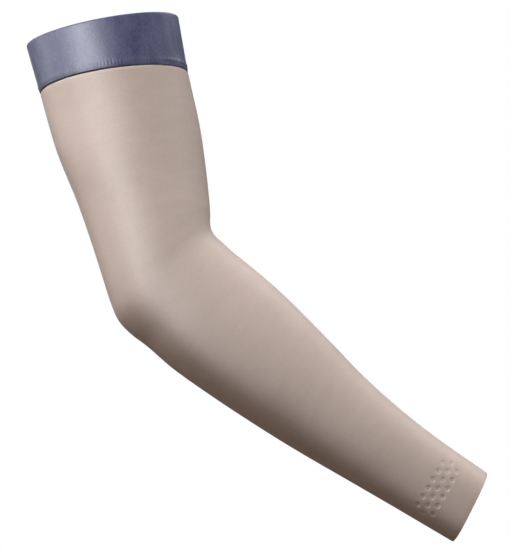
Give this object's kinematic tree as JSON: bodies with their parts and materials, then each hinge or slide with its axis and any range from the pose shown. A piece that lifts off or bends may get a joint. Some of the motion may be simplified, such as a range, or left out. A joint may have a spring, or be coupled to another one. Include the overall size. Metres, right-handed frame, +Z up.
{
  "type": "arm warmer",
  "caption": "Close-fitting knitted sleeve in the shape of a bent arm, open at both ends, with a folded elastic cuff sewn round its upper end and a clean-cut wrist edge.",
  "frame": {"origin": "centre of the cuff's upper rim, where the upper arm goes in", "axes": "+Z up, the sleeve hangs below the origin with its wrist towards +X; -Y is the outer side of the arm"},
  "size_m": [0.3415, 0.1257, 0.3902],
  "materials": {
    "sleeve_knit": "fine brushed knit, matte, warm beige",
    "cuff_knit": "smooth elastic knit with fine ribs along the arm, satin, blue-grey"
  },
  "bodies": {
    "root": {"sleeve": "sleeve_knit", "cuff_band": "cuff_knit"}
  },
  "joints": []
}
